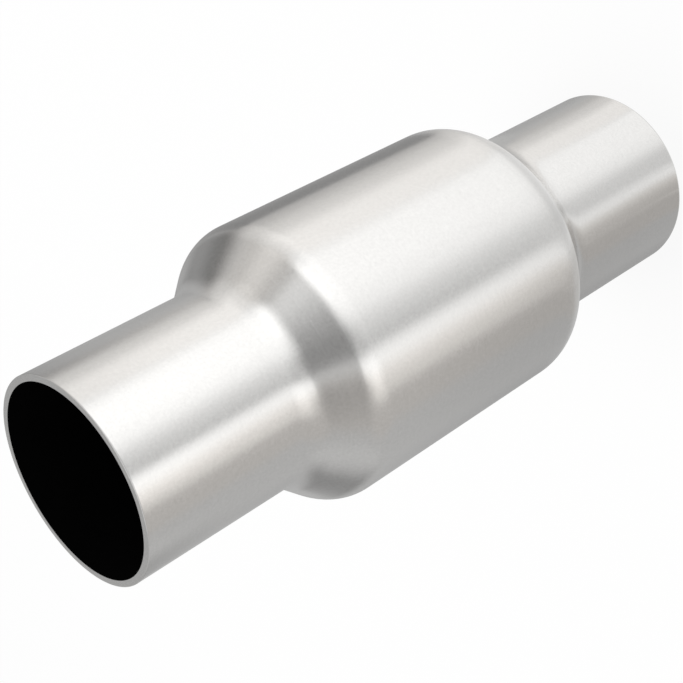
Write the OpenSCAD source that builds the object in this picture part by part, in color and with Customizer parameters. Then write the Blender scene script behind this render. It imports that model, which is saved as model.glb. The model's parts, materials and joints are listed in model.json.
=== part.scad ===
// Round catalytic converter with a one-piece spun shell and a wound metal foil core.
// The axis is +Z. The part stands on its lower rim, with the origin at the centre of that rim.

/* [Shell] */
// Outside diameter of the body
body_d = 88.9; // [84:0.1:96]
// Outside diameter of both necks
neck_d = 63.5; // [57:0.1:67]
// Length from rim to rim
overall_l = 235; // [200:1:300]
// Length of a neck, from its rim to the corner where the cone starts
neck_l = 58.6; // [45:0.2:70]
// Slope of the cones, measured from the axis
cone_angle = 41.5; // [32:0.5:50]
// Wall of the body
body_wall = 1.65; // [1.2:0.05:2.2]
// Wall of the necks, which thickens as they are spun down
neck_wall = 2.2; // [1.6:0.1:3]
// Outside radius of the bend from neck to cone
neck_bend_r = 14; // [8:0.5:18]
// Outside radius of the bend from cone to body
shoulder_r = 11; // [6:0.2:14]
// Bevel on the edges of both rims
rim_break = 0.3; // [0.1:0.1:0.6]

/* [Mantle] */
// Wall of the mantle, the tube that holds the foils
mantle_wall = 1.2; // [0.8:0.1:2]
// Gap all round between the mantle and the body
mantle_gap = 0.1; // [0.05:0.05:0.3]
// Gap between each end of the mantle and the shoulder that traps it
mantle_end_gap = 0.2; // [0.1:0.1:0.6]
// Bevel on the outer edges of the mantle
mantle_break = 0.4; // [0.2:0.1:0.8]

/* [Foils] */
// Number of corrugated foils, each between two flat ones
foil_layers = 10; // [8:1:12]
// Thickness of a foil with its catalyst coat
foil_t = 0.2; // [0.14:0.02:0.28]
// Length of one wave of the corrugated foils
wave_l = 5.4; // [4.8:0.1:7]
// Length of the flat top of a wave
crest_l = 1.2; // [0.8:0.1:1.6]
// Gap that the foils' brazed contacts are drawn with
braze_gap = 0.03; // [0.02:0.01:0.06]
// Gap inside the fold of the outermost flat foils
fold_gap = 0.3; // [0.2:0.1:0.8]
// Distance of each winding eye from the middle, along the layers
eye_x = 5.5; // [3:0.5:9]
// Depth of the foils behind each end of the mantle
foil_recess = 3; // [1:0.5:8]

/* [Hidden] */
$fn = 120;
// How far a cut runs past the face that it opens
cut_over = 1;
// Layer heights are rounded down to this step, so that straight and bent stretches meet exactly
step = 0.001;

// Both outlines of the shell, each as neck radius, body radius, and the heights of its two corners
neck_r = neck_d / 2;
body_r = body_d / 2;
cone_l = (body_r - neck_r) / tan(cone_angle);
body_z = neck_l + cone_l;
mid_z = overall_l / 2;
bore_r = neck_r - neck_wall;
barrel_r = body_r - body_wall;
bore_z = neck_l + neck_wall * tan(cone_angle / 2);
barrel_z = body_z + body_wall * tan(cone_angle / 2);

// Inner bend radii follow the wall round the outer ones
bore_bend_r = neck_bend_r + neck_wall;
barrel_shoulder_r = shoulder_r - body_wall;

// The mantle ends where the inner shoulder has closed in to its outside radius
inner_slope = atan2(barrel_r - bore_r, barrel_z - bore_z);
barrel_start_z = barrel_z + barrel_shoulder_r * tan(inner_slope / 2);
mantle_r = barrel_r - mantle_gap;
mantle_touch = sqrt(pow(barrel_shoulder_r, 2) - pow(barrel_shoulder_r - mantle_gap, 2));
mantle_z = barrel_start_z - mantle_touch + mantle_end_gap;
mantle_l = overall_l - 2 * mantle_z;
foil_l = mantle_l - 2 * foil_recess;
foil_z = mantle_z + foil_recess;

// The foils fill this circle: the winding eyes lie at [eye_x, eye_y] and opposite, and the first
// turn of the outermost foil round an eye just reaches the circle
core_r = mantle_r - mantle_wall - braze_gap;
eye_room = (2 * core_r - sqrt(pow(core_r, 2) + 3 * pow(eye_x, 2))) / 3;
layer_pitch = floor((2 * eye_room - foil_t - fold_gap) / foil_layers / step) * step;
stack_h = foil_layers * layer_pitch;
eye_y = stack_h / 2 + foil_t / 2 + fold_gap / 2;
eye_reach = norm([eye_x, eye_y]);
eye_turn = atan2(eye_y, eye_x);

// One wave in the plane of the foil's path: the centre line runs at plus and minus wave_h
wave_h = layer_pitch / 2 - foil_t - braze_gap;
wave_slope = atan2(2 * wave_h, wave_l / 2 - crest_l);
mitre = foil_t / 2 * tan(wave_slope / 2);
// A corrugated foil ends where less than this is left between the mantle and the foil inside it
wedge_h = 3 * foil_t;

// Height in the stack of a flat foil, and of a corrugated foil on top of it
function flat_y(k) = k * layer_pitch - stack_h / 2;
function corrugated_y(k) = flat_y(k) + layer_pitch / 2;

// Angle through which a turn of radius r about an eye runs before it meets the core circle
function exit_angle(r) =
    eye_turn + asin((pow(core_r, 2) - pow(eye_reach, 2) - r * r) / (2 * eye_reach * r));

// Radius about an eye, at a turn of angle a, at which the core circle lies
function room_at(a) =
    let (b = eye_x * sin(a) - eye_y * cos(a))
    sqrt(b * b + pow(core_r, 2) - pow(eye_reach, 2)) - b;

// The right arm of a foil: from the middle, round the near eye, back over the stack, and on
// round the far eye. Lengths along it at which its stretches end, for a foil at height y
function arm_ends(y) =
    let (turn_1 = PI * (eye_y - y))
    [eye_x, eye_x + turn_1, 3 * eye_x + turn_1];
function arm_length(y) =
    let (r = 3 * eye_y - y, last_r = r - layer_pitch / 2 + foil_t / 2 + wedge_h)
    arm_ends(y)[2] + r * exit_angle(last_r) * PI / 180;

// A corner of the corrugated foil on that arm, at length s and w towards the inside of the
// turns. Inside corners are lifted so that the flat between them touches the foil it seats on,
// and outside corners stop at the core circle
function arm_point(s, w, y) =
    let (
        ends = arm_ends(y),
        r_1 = eye_y - y,
        r_2 = 3 * eye_y - y,
        a_1 = (s - ends[0]) / r_1 * 180 / PI,
        a_2 = (s - ends[2]) / r_2 * 180 / PI,
        half_1 = crest_l / 2 / r_1 * 180 / PI,
        half_2 = crest_l / 2 / r_2 * 180 / PI,
        q_1 = (r_1 - w) / (w > 0 ? cos(half_1) : 1),
        q_2 = w > 0 ? (r_2 - w) / cos(half_2)
            : min(r_2 - w, room_at(a_2) - (w + wave_h + foil_t / 2))
    )
    s < ends[0] ? [s, y + w]
    : s < ends[1] ? [eye_x + q_1 * sin(a_1), eye_y - q_1 * cos(a_1)]
    : s < ends[2] ? [eye_x - (s - ends[1]), 2 * eye_y - y - w]
    : [-eye_x - q_2 * sin(a_2), -eye_y + q_2 * cos(a_2)];

// The left arm is the right arm of the opposite foil, turned half round
function foil_point(s, w, y) = s >= 0 ? arm_point(s, w, y) : -arm_point(-s, -w, -y);

// One side of the corrugated foil: skin is 1 for its upper and -1 for its lower side. Flats
// with even numbers are crests, and those with odd numbers are troughs
function wave_side(y, first, last, skin) = [
    for (i = [first : last], edge = [-1, 1])
        let (
            up = i % 2 == 0 ? 1 : -1,
            s = i * wave_l / 2 + edge * (crest_l / 2 + skin * up * mitre)
        )
        foil_point(s, up * wave_h + skin * foil_t / 2, y)
];

function reversed(list) = [for (i = [len(list) - 1 : -1 : 0]) list[i]];

// Filled half outline of the spun form, up to mid_z, with true arcs at both bends
module end_outline(neck_r, body_r, neck_z, body_z, bend_r, shoulder_r, start_z, rim_r) {
    slope = atan2(body_r - neck_r, body_z - neck_z);
    bend_t = bend_r * tan(slope / 2);
    shoulder_t = shoulder_r * tan(slope / 2);
    bevel = rim_r - neck_r;
    difference() {
        union() {
            polygon([
                [0, start_z],
                [rim_r, start_z],
                [rim_r, 0],
                [neck_r, abs(bevel)],
                [neck_r, neck_z - bend_t],
                [neck_r + bend_t * sin(slope), neck_z + bend_t * cos(slope)],
                [body_r - shoulder_t * sin(slope), body_z - shoulder_t * cos(slope)],
                [body_r, body_z + shoulder_t],
                [body_r, mid_z],
                [0, mid_z]
            ]);
            translate([body_r - shoulder_r, body_z + shoulder_t])
                circle(shoulder_r);
        }
        translate([neck_r + bend_r, neck_z - bend_t])
            circle(bend_r);
    }
}

// The tube is one piece: both ends are spun down to a cone and a neck
module shell() {
    color([0.8, 0.8, 0.79])
        rotate_extrude()
            for (end = [0, 1])
                translate([0, end * overall_l])
                    mirror([0, end])
                        difference() {
                            end_outline(neck_r, body_r, neck_l, body_z,
                                neck_bend_r, shoulder_r, 0, neck_r - rim_break);
                            end_outline(bore_r, barrel_r, bore_z, barrel_z,
                                bore_bend_r, barrel_shoulder_r, -cut_over, bore_r + rim_break);
                        }
}

// Tube between the shoulders, with its outer edges bevelled
module mantle() {
    color([0.62, 0.62, 0.6])
        translate([0, 0, mantle_z])
            rotate_extrude()
                polygon([
                    [mantle_r - mantle_wall, 0],
                    [mantle_r - mantle_break, 0],
                    [mantle_r, mantle_break],
                    [mantle_r, mantle_l - mantle_break],
                    [mantle_r - mantle_break, mantle_l],
                    [mantle_r - mantle_wall, mantle_l]
                ]);
}

// A stretch of flat foil bent about the axis at radius r, from angle start through turn
module bent_foil(r, start, turn) {
    rotate_extrude(angle = turn, start = start)
        translate([r - foil_t / 2, 0])
            square([foil_t, foil_l]);
}

// Flat foil k follows the stack through both eyes, until each end meets the mantle
module flat_foil(k) {
    color([0.66, 0.64, 0.58])
        translate([0, 0, foil_z])
            for (arm = [1, -1]) {
                y = arm * flat_y(k);
                r_2 = 3 * eye_y - y;
                rotate(arm > 0 ? 0 : 180) {
                    translate([0, y - foil_t / 2, 0])
                        cube([eye_x, foil_t, foil_l]);
                    translate([eye_x, eye_y, 0])
                        bent_foil(eye_y - y, -90, 180);
                    translate([-eye_x, 2 * eye_y - y - foil_t / 2, 0])
                        cube([2 * eye_x, foil_t, foil_l]);
                    translate([-eye_x, -eye_y, 0])
                        bent_foil(r_2, 90, exit_angle(r_2 + foil_t / 2));
                }
            }
}

// Corrugated foil k lies between flat foils k and k + 1
module corrugated_foil(k) {
    y = corrugated_y(k);
    reach = crest_l / 2 + mitre;
    first = -floor((arm_length(-y) - reach) / (wave_l / 2));
    last = floor((arm_length(y) - reach) / (wave_l / 2));
    color([0.55, 0.53, 0.47])
        translate([0, 0, foil_z])
            linear_extrude(foil_l)
                polygon(concat(
                    wave_side(y, first, last, 1),
                    reversed(wave_side(y, first, last, -1))
                ));
}

shell();
mantle();
for (k = [0 : foil_layers])
    flat_foil(k);
for (k = [0 : foil_layers - 1])
    corrugated_foil(k);
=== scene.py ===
"""Round catalytic converter: a spun stainless shell round a wound core of metal foil.

The part stands on its lower rim on a pale floor, and the camera looks down at its open upper neck.
"""
import json
import math
import bpy
from mathutils import Matrix, Vector


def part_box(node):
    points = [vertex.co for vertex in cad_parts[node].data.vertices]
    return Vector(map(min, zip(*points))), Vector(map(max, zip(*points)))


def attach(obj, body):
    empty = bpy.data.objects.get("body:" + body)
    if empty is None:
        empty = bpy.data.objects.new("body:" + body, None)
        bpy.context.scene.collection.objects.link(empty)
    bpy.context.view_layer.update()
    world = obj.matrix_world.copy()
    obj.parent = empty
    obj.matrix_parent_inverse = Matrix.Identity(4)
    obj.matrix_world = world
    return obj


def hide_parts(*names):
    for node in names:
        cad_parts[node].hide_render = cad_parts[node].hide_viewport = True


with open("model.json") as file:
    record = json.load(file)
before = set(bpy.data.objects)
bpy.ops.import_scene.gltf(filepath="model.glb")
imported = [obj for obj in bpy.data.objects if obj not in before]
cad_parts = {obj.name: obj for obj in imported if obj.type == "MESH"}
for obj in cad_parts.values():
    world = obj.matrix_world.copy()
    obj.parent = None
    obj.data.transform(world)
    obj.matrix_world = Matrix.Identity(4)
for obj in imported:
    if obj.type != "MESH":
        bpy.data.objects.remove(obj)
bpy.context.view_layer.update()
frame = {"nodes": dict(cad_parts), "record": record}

MM = 0.001

# Sizes of the shell. Those that the frame holds are read from it
_, shell_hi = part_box("shell")
ends = {mount["name"]: mount["dims"] for mount in frame["record"]["mounts"]}
overall_l = shell_hi.z
body_r = shell_hi.x
neck_r = ends["upper_neck"]["r_mm"] * MM
bore_r = ends["upper_bore"]["r_mm"] * MM
neck_l = 58.6 * MM
cone_angle = math.radians(41.5)
body_wall = 1.65 * MM
neck_bend_r = 14 * MM
shoulder_r = 11 * MM
rim_round = 0.3 * MM
bore_round = 0.12 * MM

# Heights at which the cone meets the body, and the same two corners on the inside of the wall
neck_wall = neck_r - bore_r
barrel_r = body_r - body_wall
body_z = neck_l + (body_r - neck_r) / math.tan(cone_angle)
bore_z = neck_l + neck_wall * math.tan(cone_angle / 2)
barrel_z = body_z + body_wall * math.tan(cone_angle / 2)

# How finely the shell is turned, and the circle that its outline is turned on. A face is painted
# black, as painted shade, where more than inside_from of it lies inside. The rims lie half inside, and
# stay bright
shell_sides = 432
bend_steps = 10
lathe_circle_r = 1.0
inside_from = 0.6

# Finishes: the shares of clouds and rings in the tone of steel, the stretch of that tone over which
# its roughness runs, the clouds of a matt coat, and how deep the marks on steel and coat are
cloud_share = 0.85
ring_share = 0.15
rough_stretch = (0.3, 0.7)
coat_cloud_density = 420.0
ring_depth = 0.02 * MM
coat_depth = 0.05 * MM

# Camera, fitted to the rims and the shoulders in the photograph
view_azimuth = 0.492
view_elevation = 35.388
view_roll = -119.93
view_distance = 439.9 * MM
view_target = Vector((-3.1 * MM, 0, 136.3 * MM))
view_lens = 75.945
sensor_w = 36

# The world lights at world_level, and shows white. The floor shows white for a share of floor_white,
# and the rest of it is paper that keeps the part's shadow
world_level = 0.5
floor_reach = 4.0
floor_albedo = 0.95
floor_white = 0.9

# Overhead lamp: where it hangs, its width, and its power over its area and pi
lamp_azimuth = 60
lamp_elevation = 80
lamp_distance = 1.6
lamp_w = 0.9
lamp_radiance = 6.4


def link_nodes(tree, *pairs):
    """Joins output to input for each pair."""
    for source, target in pairs:
        tree.links.new(source, target)


def add_node(tree, kind, **settings):
    """Adds a node and sets its properties."""
    node = tree.nodes.new(kind)
    for name, value in settings.items():
        setattr(node, name, value)
    return node


def set_inputs(node, **values):
    """Sets unlinked inputs by name, with _ for a space."""
    for name, value in values.items():
        node.inputs[name.replace("_", " ")].default_value = value


def new_material(name):
    """A material with a Principled shader, and that shader."""
    mat = bpy.data.materials.new(name)
    mat.use_nodes = True
    return mat, mat.node_tree.nodes["Principled BSDF"]


def spun_grain_group():
    """Rings left by spinning, as fine lines round the axis, and the clouds of a mottled finish."""
    tree = bpy.data.node_groups.new("spun_grain", "ShaderNodeTree")
    for name, default in (("Ring Density", 2400.0), ("Ring Length", 9.0), ("Cloud Density", 1100.0)):
        socket = tree.interface.new_socket(name, in_out="INPUT", socket_type="NodeSocketFloat")
        socket.default_value = default
    for name in ("Rings", "Clouds"):
        tree.interface.new_socket(name, in_out="OUTPUT", socket_type="NodeSocketFloat")
    given = add_node(tree, "NodeGroupInput")
    result = add_node(tree, "NodeGroupOutput")
    place = add_node(tree, "ShaderNodeTexCoord")
    parts = add_node(tree, "ShaderNodeSeparateXYZ")
    flat = add_node(tree, "ShaderNodeCombineXYZ")
    radius = add_node(tree, "ShaderNodeVectorMath", operation="LENGTH")
    along = add_node(tree, "ShaderNodeMath", operation="MULTIPLY")
    outward = add_node(tree, "ShaderNodeMath", operation="MULTIPLY")
    side_x = add_node(tree, "ShaderNodeMath", operation="MULTIPLY")
    side_y = add_node(tree, "ShaderNodeMath", operation="MULTIPLY")
    stretched = add_node(tree, "ShaderNodeCombineXYZ")
    rings = add_node(tree, "ShaderNodeTexNoise", noise_dimensions="4D")
    clouds = add_node(tree, "ShaderNodeTexNoise")
    set_inputs(rings, Scale=1.0, Detail=2.5, Roughness=0.6)
    set_inputs(clouds, Detail=5.0, Roughness=0.8)
    link_nodes(
        tree,
        (place.outputs["Object"], parts.inputs[0]),
        (parts.outputs["X"], flat.inputs["X"]),
        (parts.outputs["Y"], flat.inputs["Y"]),
        (flat.outputs[0], radius.inputs[0]),
        (parts.outputs["Z"], along.inputs[0]),
        (given.outputs["Ring Density"], along.inputs[1]),
        (radius.outputs["Value"], outward.inputs[0]),
        (given.outputs["Ring Density"], outward.inputs[1]),
        (parts.outputs["X"], side_x.inputs[0]),
        (given.outputs["Ring Length"], side_x.inputs[1]),
        (parts.outputs["Y"], side_y.inputs[0]),
        (given.outputs["Ring Length"], side_y.inputs[1]),
        (side_x.outputs[0], stretched.inputs["X"]),
        (side_y.outputs[0], stretched.inputs["Y"]),
        (along.outputs[0], stretched.inputs["Z"]),
        (stretched.outputs[0], rings.inputs["Vector"]),
        (outward.outputs[0], rings.inputs["W"]),
        (place.outputs["Object"], clouds.inputs["Vector"]),
        (given.outputs["Cloud Density"], clouds.inputs["Scale"]),
        (rings.outputs["Fac"], result.inputs["Rings"]),
        (clouds.outputs["Fac"], result.inputs["Clouds"]),
    )
    return tree


def spun_steel(name, grain, dark, light, rough_low, rough_high, bump):
    """Stainless steel turned on a spinning lathe, between two greys and two roughnesses."""
    mat, shader = new_material(name)
    tree = mat.node_tree
    lines = add_node(tree, "ShaderNodeGroup", node_tree=grain)
    tone = add_node(tree, "ShaderNodeMix", data_type="RGBA")
    tone.inputs["A"].default_value = (*dark, 1)
    tone.inputs["B"].default_value = (*light, 1)
    sheen = add_node(tree, "ShaderNodeMath", operation="MULTIPLY_ADD")
    sheen.inputs[1].default_value = cloud_share
    blend = add_node(tree, "ShaderNodeMath", operation="MULTIPLY")
    blend.inputs[1].default_value = ring_share
    rough = add_node(tree, "ShaderNodeMapRange")
    set_inputs(rough, From_Min=rough_stretch[0], From_Max=rough_stretch[1])
    set_inputs(rough, To_Min=rough_low, To_Max=rough_high)
    height = add_node(tree, "ShaderNodeBump")
    set_inputs(height, Strength=bump, Distance=ring_depth)
    set_inputs(shader, Metallic=1.0)
    link_nodes(
        tree,
        (lines.outputs["Rings"], blend.inputs[0]),
        (lines.outputs["Clouds"], sheen.inputs[0]),
        (blend.outputs[0], sheen.inputs[2]),
        (sheen.outputs[0], tone.inputs["Factor"]),
        (sheen.outputs[0], rough.inputs["Value"]),
        (lines.outputs["Rings"], height.inputs["Height"]),
        (tone.outputs["Result"], shader.inputs["Base Color"]),
        (rough.outputs["Result"], shader.inputs["Roughness"]),
        (height.outputs["Normal"], shader.inputs["Normal"]),
    )
    return mat


def matt_coat_and_painted_shade(name, grain, dark, light, rough, metal, bump, specular):
    """A dull coat with a mottled tone, such as the wash on the foils, and also the near black of
    painted shade inside the shell.
    """
    mat, shader = new_material(name)
    tree = mat.node_tree
    spots = add_node(tree, "ShaderNodeGroup", node_tree=grain)
    set_inputs(spots, Cloud_Density=coat_cloud_density)
    tone = add_node(tree, "ShaderNodeMix", data_type="RGBA")
    tone.inputs["A"].default_value = (*dark, 1)
    tone.inputs["B"].default_value = (*light, 1)
    height = add_node(tree, "ShaderNodeBump")
    set_inputs(height, Strength=bump, Distance=coat_depth)
    set_inputs(shader, Roughness=rough, Metallic=metal, Specular_IOR_Level=specular)
    link_nodes(
        tree,
        (spots.outputs["Clouds"], tone.inputs["Factor"]),
        (spots.outputs["Clouds"], height.inputs["Height"]),
        (tone.outputs["Result"], shader.inputs["Base Color"]),
        (height.outputs["Normal"], shader.inputs["Normal"]),
    )
    return mat


def lathe_tree(outer_finish, inner_painted_shade):
    """Geometry nodes that round the corners of a closed outline and turn it about the axis.

    The outline holds the radius, less that of the circle it is turned on, as x, and the height as
    -y. Each corner carries its bend radius and whether the wall next to it is on the inside.
    """
    tree = bpy.data.node_groups.new("spun_lathe", "GeometryNodeTree")
    face = tree.interface
    face.new_socket("Outline", in_out="INPUT", socket_type="NodeSocketGeometry")
    for name in ("Sides", "Bend Steps"):
        face.new_socket(name, in_out="INPUT", socket_type="NodeSocketInt")
    face.new_socket("Shell", in_out="OUTPUT", socket_type="NodeSocketGeometry")
    given = add_node(tree, "NodeGroupInput")
    result = add_node(tree, "NodeGroupOutput")
    curve = add_node(tree, "GeometryNodeMeshToCurve")
    bends = add_node(tree, "GeometryNodeFilletCurve", mode="POLY")
    bend_r = add_node(tree, "GeometryNodeInputNamedAttribute", data_type="FLOAT")
    circle = add_node(tree, "GeometryNodeCurvePrimitiveCircle")
    upright = add_node(tree, "GeometryNodeSetCurveNormal", mode="Z_UP")
    turned = add_node(tree, "GeometryNodeCurveToMesh")
    smooth = add_node(tree, "GeometryNodeSetShadeSmooth")
    real = add_node(tree, "GeometryNodeRealizeInstances")
    steel = add_node(tree, "GeometryNodeSetMaterial")
    # The faces inside the wall get the second material: painted shade, near black on what is bare
    # steel
    black = add_node(tree, "GeometryNodeSetMaterial")
    inside = add_node(tree, "GeometryNodeInputNamedAttribute", data_type="FLOAT")
    is_inside = add_node(tree, "FunctionNodeCompare", data_type="FLOAT", operation="GREATER_THAN")
    bend_r.inputs["Name"].default_value = "bend_radius"
    inside.inputs["Name"].default_value = "inside"
    is_inside.inputs["B"].default_value = inside_from
    circle.inputs["Radius"].default_value = lathe_circle_r
    steel.inputs["Material"].default_value = outer_finish
    black.inputs["Material"].default_value = inner_painted_shade
    link_nodes(
        tree,
        (given.outputs["Outline"], curve.inputs["Mesh"]),
        (curve.outputs["Curve"], bends.inputs["Curve"]),
        (given.outputs["Bend Steps"], bends.inputs["Count"]),
        (bend_r.outputs["Attribute"], bends.inputs["Radius"]),
        (given.outputs["Sides"], circle.inputs["Resolution"]),
        (circle.outputs["Curve"], upright.inputs["Curve"]),
        (upright.outputs["Curve"], turned.inputs["Curve"]),
        (bends.outputs["Curve"], turned.inputs["Profile Curve"]),
        (turned.outputs["Mesh"], smooth.inputs["Geometry"]),
        (smooth.outputs["Geometry"], real.inputs["Geometry"]),
        (real.outputs["Geometry"], steel.inputs["Geometry"]),
        (steel.outputs["Geometry"], black.inputs["Geometry"]),
        (inside.outputs["Attribute"], is_inside.inputs["A"]),
        (is_inside.outputs["Result"], black.inputs["Selection"]),
        (black.outputs["Geometry"], result.inputs["Shell"]),
    )
    return tree


def wall_corners():
    """Corners of the shell's wall: radius, height, bend radius, and 1 where the inside begins."""
    outside = [
        (neck_r, 0, rim_round, 0),
        (neck_r, neck_l, neck_bend_r, 0),
        (body_r, body_z, shoulder_r, 0),
    ]
    inside = [
        (bore_r, 0, bore_round, 1),
        (bore_r, bore_z, neck_bend_r + neck_wall, 1),
        (barrel_r, barrel_z, shoulder_r - body_wall, 1),
    ]

    def flipped(corners):
        return [(r, overall_l - z, bend, mark) for r, z, bend, mark in reversed(corners)]

    return inside + flipped(inside) + flipped(outside)[::-1] + outside[::-1]


def spun_shell(outer_finish, inner_painted_shade):
    """The whole shell, turned from its wall."""
    corners = wall_corners()
    outline = bpy.data.meshes.new("wall_outline")
    count = len(corners)
    edges = [(i, (i + 1) % count) for i in range(count)]
    outline.from_pydata([(r - lathe_circle_r, -z, 0) for r, z, _, _ in corners], edges, [])
    for column, name in ((2, "bend_radius"), (3, "inside")):
        values = outline.attributes.new(name, "FLOAT", "POINT")
        values.data.foreach_set("value", [float(corner[column]) for corner in corners])
    blank = bpy.data.objects.new("spun_shell_outline", outline)
    bpy.context.scene.collection.objects.link(blank)
    lathe = blank.modifiers.new("lathe", "NODES")
    lathe.node_group = lathe_tree(outer_finish, inner_painted_shade)
    sizes = {"Sides": shell_sides, "Bend Steps": bend_steps}
    for item in lathe.node_group.interface.items_tree:
        if item.name in sizes:
            lathe[item.identifier] = sizes[item.name]
    solid = bpy.data.meshes.new_from_object(blank.evaluated_get(bpy.context.evaluated_depsgraph_get()))
    bpy.data.objects.remove(blank)
    solid.name = "spun_shell"
    piece = bpy.data.objects.new("spun_shell", solid)
    bpy.context.scene.collection.objects.link(piece)
    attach(piece, "root")
    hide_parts("shell")


def finish_node(name, finish):
    """Gives a solid of the frame its finish."""
    node = frame["nodes"][name]
    node.data.materials.clear()
    node.data.materials.append(finish)


def looked_at(tree):
    """1 for the rays that show the background: straight, mirrored, or through glass."""
    seen = add_node(tree, "ShaderNodeLightPath")
    either = add_node(tree, "ShaderNodeMath", operation="MAXIMUM")
    any_of = add_node(tree, "ShaderNodeMath", operation="MAXIMUM")
    link_nodes(
        tree,
        (seen.outputs["Is Camera Ray"], either.inputs[0]),
        (seen.outputs["Is Glossy Ray"], either.inputs[1]),
        (either.outputs[0], any_of.inputs[0]),
        (seen.outputs["Is Transmission Ray"], any_of.inputs[1]),
    )
    return any_of.outputs[0]


def pale_floor():
    """The floor: white to the eye, with the part's soft shadow kept."""
    mesh = bpy.data.meshes.new("floor")
    corners = [(x * floor_reach, y * floor_reach, 0) for x, y in ((-1, -1), (1, -1), (1, 1), (-1, 1))]
    mesh.from_pydata(corners, [], [(0, 1, 2, 3)])
    floor = bpy.data.objects.new("floor", mesh)
    bpy.context.scene.collection.objects.link(floor)
    mat = bpy.data.materials.new("pale_floor")
    mat.use_nodes = True
    tree = mat.node_tree
    tree.nodes.clear()
    share = add_node(tree, "ShaderNodeMath", operation="MULTIPLY")
    share.inputs[1].default_value = floor_white
    paper = add_node(tree, "ShaderNodeBsdfDiffuse")
    paper.inputs["Color"].default_value = (floor_albedo, floor_albedo, floor_albedo, 1)
    glow = add_node(tree, "ShaderNodeEmission")
    mixed = add_node(tree, "ShaderNodeMixShader")
    out = add_node(tree, "ShaderNodeOutputMaterial")
    link_nodes(
        tree,
        (looked_at(tree), share.inputs[0]),
        (share.outputs[0], mixed.inputs["Fac"]),
        (paper.outputs[0], mixed.inputs[1]),
        (glow.outputs[0], mixed.inputs[2]),
        (mixed.outputs[0], out.inputs["Surface"]),
    )
    mesh.materials.append(mat)


# The tent is a sheet that lies on the floor round the part and then stands up, and only the metal
# sees it. Its columns start at tent_start and go round once, in degrees of the direction that the
# shell mirrors there. The elevations in tent_floor_el lie on the floor, and those above stand up,
# with elevation 0 at tent_wall_z
tent_reach = 335 * MM
tent_lift = 0.5 * MM
tent_start = -270
tent_columns = 180
tent_rows = 53
tent_floor_el = (-50, -28)
tent_wall_z = 172 * MM
tent_top_el = 56

# Tone of the tent: boxes times tent_gain are added to tent_level, and they fade by up to tent_fall
# below tent_bright_el
tent_level = 0.568
tent_gain = 1.1
tent_fall = 0.28
tent_bright_el = -20

# The collar is a flat sheet round the lower neck. A row is the way out from the neck and how far
# it clears into the tone of the tent's foot. Where it isn't clear, it has collar_share of that tone
# on top of collar_base
collar_z = 54.2 * MM
collar_rows = ((1.3 * MM, 0), (22 * MM, 0), (36 * MM, 1))
collar_base = 0.406
collar_share = 0.43

# The card beside the part. A row, from its foot up, is its two ends in mm and how far it clears
# into tent_level. Where it isn't clear, each end has its own tone
side_flag_rows = (
    ((65.4, -0.7, 1), (43, 46, 1), 1),
    ((65.4, -0.7, 38), (43, 46, 38), 1),
    ((65.4, -0.7, 52), (43, 46, 52), 0),
    ((65.4, -0.7, 137), (43, 46, 147), 0),
    ((66.8, -5.2, 143), (43, 46, 151), 0),
    ((66.8, -5.2, 155.5), (43, 46, 158.5), 0.15),
)
side_flag_tones = (0.26, 0.45)

# Boxes add light to the tent, flags take it away, and tints warm it. Each is an amount and a patch,
# in degrees of azimuth and then of elevation: from, width of that edge, to, width of that edge. An
# azimuth of 400 or an elevation of 90, either side, is past the end of the tent
OPEN = (-400, 1, 400, 1)
BOXES = {
    "broad_box": (0.28, (-148, 10, 20, 22), (-90, 1, 15, 32)),
    "strip_box": (0.48, (-130, 25, -115, 16), (-90, 1, 27, 3)),
    "key_box": (0.32, (-89, 20, 1, 17), (-90, 1, 35, 18)),
    "key_core": (0.16, (-75, 30, -30, 7), (-90, 1, 25, 4)),
    "high_key_box": (0.26, (-70, 28, -32, 4), (7, 17, 90, 1)),
    "high_side_box": (0.19, (-17, 11, 15, 32), (17, 14, 90, 1)),
    "high_strip_box": (0.28, (-130, 16, -116, 8), (11, 25, 90, 1)),
    "left_fill_box": (0.07, (-215, 4, -186, 18), (-12, 30, 26, 3)),
    "upper_right_box": (0.15, (37, 32, 77, 16), (-23, 18, 15, 6)),
    "shoulder_box": (0.05, (-82, 16, -34, 14), (-32, 4, 25, 4)),
    "strip_end_box": (0.12, (-140, 10, -113, 8), (-19, 6, 6, 8)),
}
FLAGS = {
    "high_flag": (0.40, (22, 22, 400, 1), (-14, 32, 17, 16)),
    "right_flag": (0.12, (45, 31, 400, 1), (-90, 1, -6, 3)),
    "left_flag": (0.08, (-400, 1, -225, 32), (-90, 1, -21, 18)),
    "left_high_flag": (0.25, (-246, 8, -205, 21), (-13, 25, 12, 20)),
    "top_flag": (0.18, (-171, 32, -53, 15), (31, 32, 90, 1)),
    "dip_flag": (0.23, (-37, 10, 7, 32), (-13, 32, 35, 3)),
    "foot_flag": (0.08, (-400, 1, -114, 3), (-90, 1, -39, 14)),
    "gap_flag": (0.09, (-115, 3, -90, 6), (-9, 15, 90, 1)),
    "shoulder_gap_flag": (0.24, (-112, 3, -104, 17), (-44, 16, 9, 4)),
    "strip_foot_flag": (0.17, (-147, 3, -122, 19), (-90, 1, -44, 6)),
    "rim_flag": (0.10, (60, 16, 400, 1), (24, 8, 90, 1)),
    "rim_left_flag": (0.10, (-400, 1, -235, 16), (24, 8, 90, 1)),
}
TINTS = {
    "warm_strip": (0.034, (-174, 10, -127, 14), OPEN),
    "warm_side": (0.018, (-26, 10, 34, 14), OPEN),
    "warm_high": (0.01, (-34, 8, 14, 14), (10, 16, 90, 1)),
}


def smooth_step(x):
    """0 below 0, 1 above 1, and an even curve between."""
    x = min(max(x, 0), 1)
    return x * x * (3 - 2 * x)


def patch(x, edges):
    """How far x is inside a patch that has soft edges."""
    start, start_soft, stop, stop_soft = edges
    rise = smooth_step((x - start) / start_soft + 0.5)
    return rise * (1 - smooth_step((x - stop) / stop_soft + 0.5))


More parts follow.
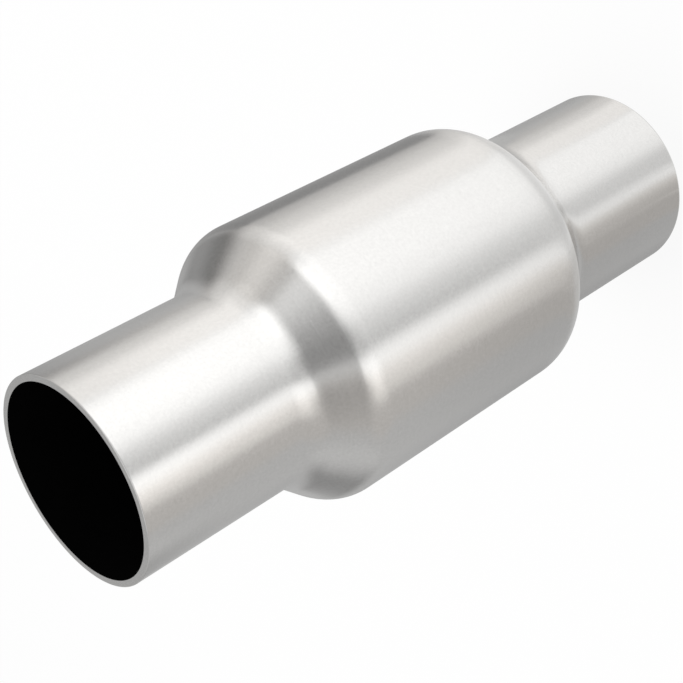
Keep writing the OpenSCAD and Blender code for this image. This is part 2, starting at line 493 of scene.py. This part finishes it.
def patches(group, azimuth, elevation):
    """Sum of a group of patches in one direction."""
    return sum(
        amount * patch(azimuth, across) * patch(elevation, up)
        for amount, across, up in group.values()
    )


def tent_tone(azimuth, elevation):
    """Colour of the tent in one direction. The boxes fade towards the foot of the part."""
    below = max(0, tent_bright_el - elevation) / (tent_bright_el - tent_floor_el[0])
    gain = tent_gain - tent_fall * below * below
    level = tent_level + gain * patches(BOXES, azimuth, elevation) - patches(FLAGS, azimuth, elevation)
    warm = patches(TINTS, azimuth, elevation)
    return (level * (1 + warm), level, level * (1 - warm), 1)


def glow_sheet(name, points, quads, tones, cloth):
    """A sheet that only the metal sees, shining in the tone of each of its points."""
    mesh = bpy.data.meshes.new(name)
    mesh.from_pydata(points, [], quads)
    glow = mesh.attributes.new("glow", "FLOAT_COLOR", "POINT")
    glow.data.foreach_set("color", [channel for tone in tones for channel in tone])
    sheet = bpy.data.objects.new(name, mesh)
    bpy.context.scene.collection.objects.link(sheet)
    sheet.visible_camera = False
    sheet.visible_diffuse = False
    sheet.visible_shadow = False
    sheet.visible_transmission = False
    mesh.materials.append(cloth)


def mirrored_sheet(name, rows, tone_at, closed, cloth):
    """A sheet on the lines along which the upright walls of the shell mirror it.

    Each row is the way out from the wall, the height, and what tone_at takes beside the azimuth. A
    closed sheet also joins its last line to its first, behind the part.
    """
    points = []
    tones = []
    for i in range(tent_columns + 1):
        azimuth = tent_start + 360 * i / tent_columns
        mirrored = math.radians(azimuth)
        angle = (mirrored - math.pi / 2) / 2
        foot = Vector((math.cos(angle), math.sin(angle), 0)) * neck_r
        away = Vector((math.cos(mirrored), math.sin(mirrored), 0))
        for way, height, measure in rows:
            points.append(foot + away * way + Vector((0, 0, height)))
            tones.append(tone_at(azimuth, measure))
    step = len(rows)
    starts = [i * step for i in range(tent_columns + 1)]
    pairs = list(zip(starts, starts[1:] + starts[:1]))[:tent_columns + closed]
    quads = [(a + j, b + j, b + j + 1, a + j + 1) for a, b in pairs for j in range(step - 1)]
    glow_sheet(name, points, quads, tones, cloth)


def light_tent(cloth):
    """The tent: flat on the floor out to its reach, and upright from there."""
    rows = []
    for j in range(tent_rows + 1):
        elevation = tent_floor_el[0] + (tent_top_el - tent_floor_el[0]) * j / tent_rows
        share = (elevation - tent_floor_el[0]) / (tent_floor_el[1] - tent_floor_el[0])
        rise = tent_wall_z + tent_reach * math.tan(math.radians(elevation))
        height = max(0, rise) if share > 1 else 0
        rows.append((tent_reach * min(share, 1), height + tent_lift, elevation))
    mirrored_sheet("light_tent", rows, tent_tone, True, cloth)


def grey_collar(cloth):
    """A duller sheet close under the lower shoulder, for all that mirrors steeply down."""

    def dulled(azimuth, clear):
        share = collar_share + (1 - collar_share) * clear
        base = collar_base * (1 - clear)
        return [channel * share + base for channel in tent_tone(azimuth, tent_floor_el[0])]

    rows = [(way, collar_z, clear) for way, clear in collar_rows]
    mirrored_sheet("grey_collar", rows, dulled, False, cloth)


def side_flag(cloth):
    """A card that stands on the floor beside the part, dark at the height of the body."""
    points = []
    tones = []
    for *ends_mm, clear in side_flag_rows:
        for spot, tone in zip(ends_mm, side_flag_tones):
            points.append(Vector(spot) * MM)
            grey = tone + (tent_level - tone) * clear
            tones.append((grey, grey, grey, 1))
    quads = [(i, i + 1, i + 3, i + 2) for i in range(0, len(points) - 2, 2)]
    glow_sheet("side_flag", points, quads, tones, cloth)


def tent_glow():
    """Cloth that shines as its own colour says."""
    mat = bpy.data.materials.new("tent_glow")
    mat.use_nodes = True
    tree = mat.node_tree
    tree.nodes.clear()
    tone = add_node(tree, "ShaderNodeAttribute", attribute_name="glow")
    glow = add_node(tree, "ShaderNodeEmission")
    out = add_node(tree, "ShaderNodeOutputMaterial")
    link_nodes(
        tree,
        (tone.outputs["Color"], glow.inputs["Color"]),
        (glow.outputs[0], out.inputs["Surface"]),
    )
    return mat


def overhead_lamp():
    """A flat square lamp that faces the middle of the part. The steel doesn't mirror it."""
    data = bpy.data.lights.new("overhead_lamp", "AREA")
    data.shape = "RECTANGLE"
    data.size = lamp_w
    data.size_y = lamp_w
    data.energy = lamp_radiance * math.pi * lamp_w * lamp_w
    lamp = bpy.data.objects.new("overhead_lamp", data)
    bpy.context.scene.collection.objects.link(lamp)
    a = math.radians(lamp_azimuth)
    e = math.radians(lamp_elevation)
    away = Vector((math.cos(a) * math.cos(e), math.sin(a) * math.cos(e), math.sin(e)))
    middle = Vector((0, 0, overall_l / 2))
    turn = away.to_track_quat("Z", "Y").to_matrix().to_4x4()
    lamp.matrix_world = Matrix.Translation(middle + away * lamp_distance) @ turn
    lamp.visible_camera = False
    lamp.visible_glossy = False


def studio():
    """World, lamp and sheets."""
    world = bpy.data.worlds.new("studio")
    bpy.context.scene.world = world
    world.use_nodes = True
    tree = world.node_tree
    sky = tree.nodes["Background"]
    sky.inputs["Color"].default_value = (1, 1, 1, 1)
    level = add_node(tree, "ShaderNodeMapRange")
    set_inputs(level, To_Min=world_level, To_Max=1.0)
    link_nodes(
        tree,
        (looked_at(tree), level.inputs["Value"]),
        (level.outputs["Result"], sky.inputs["Strength"]),
    )
    overhead_lamp()
    cloth = tent_glow()
    light_tent(cloth)
    grey_collar(cloth)
    side_flag(cloth)


def camera():
    """Camera at the photograph's angle, rolled so that the part lies as it does there."""
    data = bpy.data.cameras.new("camera")
    data.sensor_width = sensor_w
    data.lens = view_lens
    eye = bpy.data.objects.new("camera", data)
    bpy.context.scene.collection.objects.link(eye)
    turn = Matrix.Rotation(math.radians(view_azimuth), 3, "Z")
    turn = turn @ Matrix.Rotation(math.radians(90 - view_elevation), 3, "X")
    turn = turn @ Matrix.Rotation(math.radians(view_roll), 3, "Z")
    back = turn.col[2]
    eye.matrix_world = Matrix.Translation(view_target + back * view_distance) @ turn.to_4x4()
    bpy.context.scene.camera = eye


bpy.context.scene.view_settings.view_transform = "Standard"
camera()
studio()
pale_floor()

grain = spun_grain_group()
shell_steel = spun_steel(
    "spun_steel", grain,
    dark=(0.6, 0.594, 0.583), light=(0.81, 0.803, 0.789),
    rough_low=0.17, rough_high=0.23, bump=0.12,
)
mantle_steel = spun_steel(
    "mill_steel", grain,
    dark=(0.42, 0.41, 0.395), light=(0.5, 0.49, 0.475),
    rough_low=0.3, rough_high=0.4, bump=0.1,
)
# Painted shade: the inside of the shell is bare steel, coloured near black here to stand for the shade
# in its bore
bore_painted_shade = matt_coat_and_painted_shade(
    "bore_painted_shade", grain,
    dark=(0.002, 0.002, 0.002), light=(0.005, 0.005, 0.005),
    rough=1.0, metal=0.0, bump=0.1, specular=0.0,
)
foil_coat = matt_coat_and_painted_shade(
    "foil_coat", grain,
    dark=(0.38, 0.35, 0.3), light=(0.56, 0.53, 0.47),
    rough=0.62, metal=0.25, bump=0.3, specular=0.4,
)
# The inside faces of the shell get the painted shade
spun_shell(shell_steel, bore_painted_shade)
for node_name in frame["nodes"]:
    if "foil" in node_name:
        finish_node(node_name, foil_coat)
finish_node("mantle", mantle_steel)
